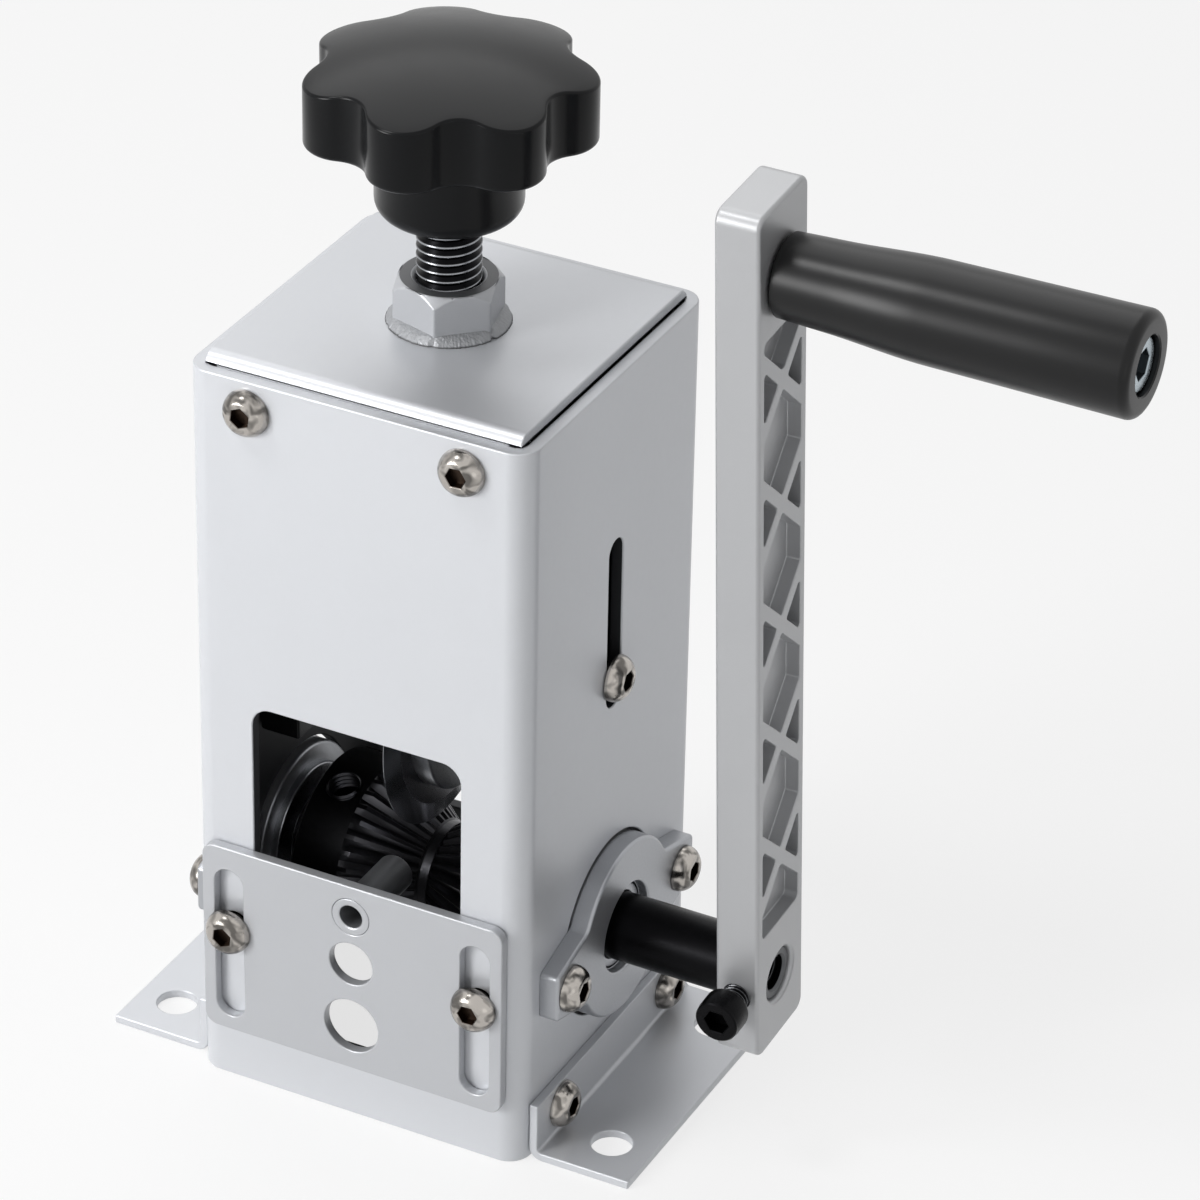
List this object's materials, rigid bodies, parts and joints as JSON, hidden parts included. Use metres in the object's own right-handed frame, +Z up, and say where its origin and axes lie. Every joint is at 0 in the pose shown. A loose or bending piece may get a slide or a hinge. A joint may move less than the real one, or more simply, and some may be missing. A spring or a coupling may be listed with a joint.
{
  "type": "manual wire stripping machine",
  "caption": "Bench-mounted hand-cranked wire stripper: square steel housing, toothed feed roller, round blade pressed down by a star knob, slotted feed plate and side crank.",
  "frame": {"origin": "centre of the rectangle of bench holes in the two foot brackets, on the bench plane", "axes": "+Z up along the housing and the spindle, +X along the drive shaft to the crank, -Y to the front, where the wire goes in"},
  "size_m": [0.2225, 0.0893, 0.2391],
  "materials": {
    "housing_paint": "satin silver-grey paint over sheet steel",
    "top_paint": "satin silver-grey paint",
    "nut_paint": "silver paint over machined steel",
    "weld_paint": "silver paint over a weld bead",
    "bracket_paint": "satin silver-grey paint",
    "bearing_housing_zinc": "satin zinc-plated cast flange",
    "bearing_steel": "ground bearing steel",
    "stainless": "polished stainless",
    "feed_plate_paint": "satin silver-grey paint",
    "guide_tube_steel": "turned steel, dull",
    "yoke_aluminium": "black anodised milled aluminium",
    "axle_steel": "ground steel rod",
    "spacer_steel": "turned steel tube",
    "bronze": "sintered bronze",
    "blade_steel": "hardened tool steel with a ground edge",
    "hub_steel": "turned steel",
    "knob_plastic": "moulded glossy black",
    "black_oxide_spindle": "black oxide on a rolled thread",
    "spring_steel": "phosphated spring steel",
    "black_oxide_shaft": "black oxide, satin",
    "roller_steel": "hardened and oiled steel",
    "arm_aluminium": "satin blasted aluminium",
    "zinc_bolt": "blue-white zinc plate",
    "grip_plastic": "satin black moulded grip"
  },
  "bodies": {
    "housing": {"housing_tube": "housing_paint", "top_plate": "top_paint", "spindle_nut": "nut_paint", "nut_weld": "weld_paint", "foot_bracket_left": "bracket_paint", "foot_bracket_right": "bracket_paint", "bearing_housing_left": "bearing_housing_zinc", "bearing_housing_right": "bearing_housing_zinc", "bearing_outer_rings": "bearing_steel", "top_plate_screws": "stainless", "top_plate_nuts": "stainless", "bearing_housing_screws": "stainless", "bearing_housing_nuts": "stainless", "bracket_screws": "stainless", "bracket_nuts": "stainless", "feed_plate_screws": "stainless", "feed_plate_nuts": "stainless"},
    "feed_plate": {"feed_plate": "feed_plate_paint", "guide_tube": "guide_tube_steel"},
    "carriage": {"carriage_yoke": "yoke_aluminium", "guide_screws": "stainless", "cutter_axle": "axle_steel", "axle_spacers": "spacer_steel", "thrust_washer": "bronze"},
    "cutter": {"cutter_blade": "blade_steel", "blade_hub": "hub_steel", "blade_clamp_ring": "hub_steel", "hub_bush": "bronze"},
    "knob": {"knob_head": "knob_plastic", "threaded_spindle": "black_oxide_spindle", "spindle_clip": "spring_steel"},
    "drive": {"drive_shaft": "black_oxide_shaft", "shaft_circlips": "spring_steel", "bearing_inner_rings": "bearing_steel", "feed_roller_left": "roller_steel", "feed_roller_right": "roller_steel", "roller_set_screws": "black_oxide_shaft", "crank_arm": "arm_aluminium", "clamp_screw": "black_oxide_shaft", "grip_axle": "zinc_bolt"},
    "grip": {"grip_sleeve": "grip_plastic"}
  },
  "joints": [
    {"name": "feed_plate_slide", "type": "slide", "parent": "housing", "child": "feed_plate", "axis": [0, 0, 1], "range_m": [-0.012, 0.005]},
    {"name": "carriage_slide", "type": "slide", "parent": "housing", "child": "carriage", "axis": [0, 0, 1], "range_m": [-0.004, 0.0305]},
    {"name": "knob_turn", "type": "hinge", "parent": "carriage", "child": "knob", "pos_m": [0, 0, 0.2], "axis": [0, 0, 1], "range_deg": [-720, 5490]},
    {"name": "cutter_spin", "type": "hinge", "parent": "carriage", "child": "cutter", "pos_m": [0, 0, 0.085], "axis": [1, 0, 0], "continuous": true},
    {"name": "crank_spin", "type": "hinge", "parent": "housing", "child": "drive", "pos_m": [0, 0, 0.04], "axis": [1, 0, 0], "continuous": true},
    {"name": "grip_spin", "type": "hinge", "parent": "drive", "child": "grip", "pos_m": [0.1, -0.01205, 0.21458], "axis": [1, 0, 0], "continuous": true}
  ],
  "couplings": [
    {"joint": "knob_turn", "follows": "carriage_slide", "rad_per_m": 3141.6}
  ]
}
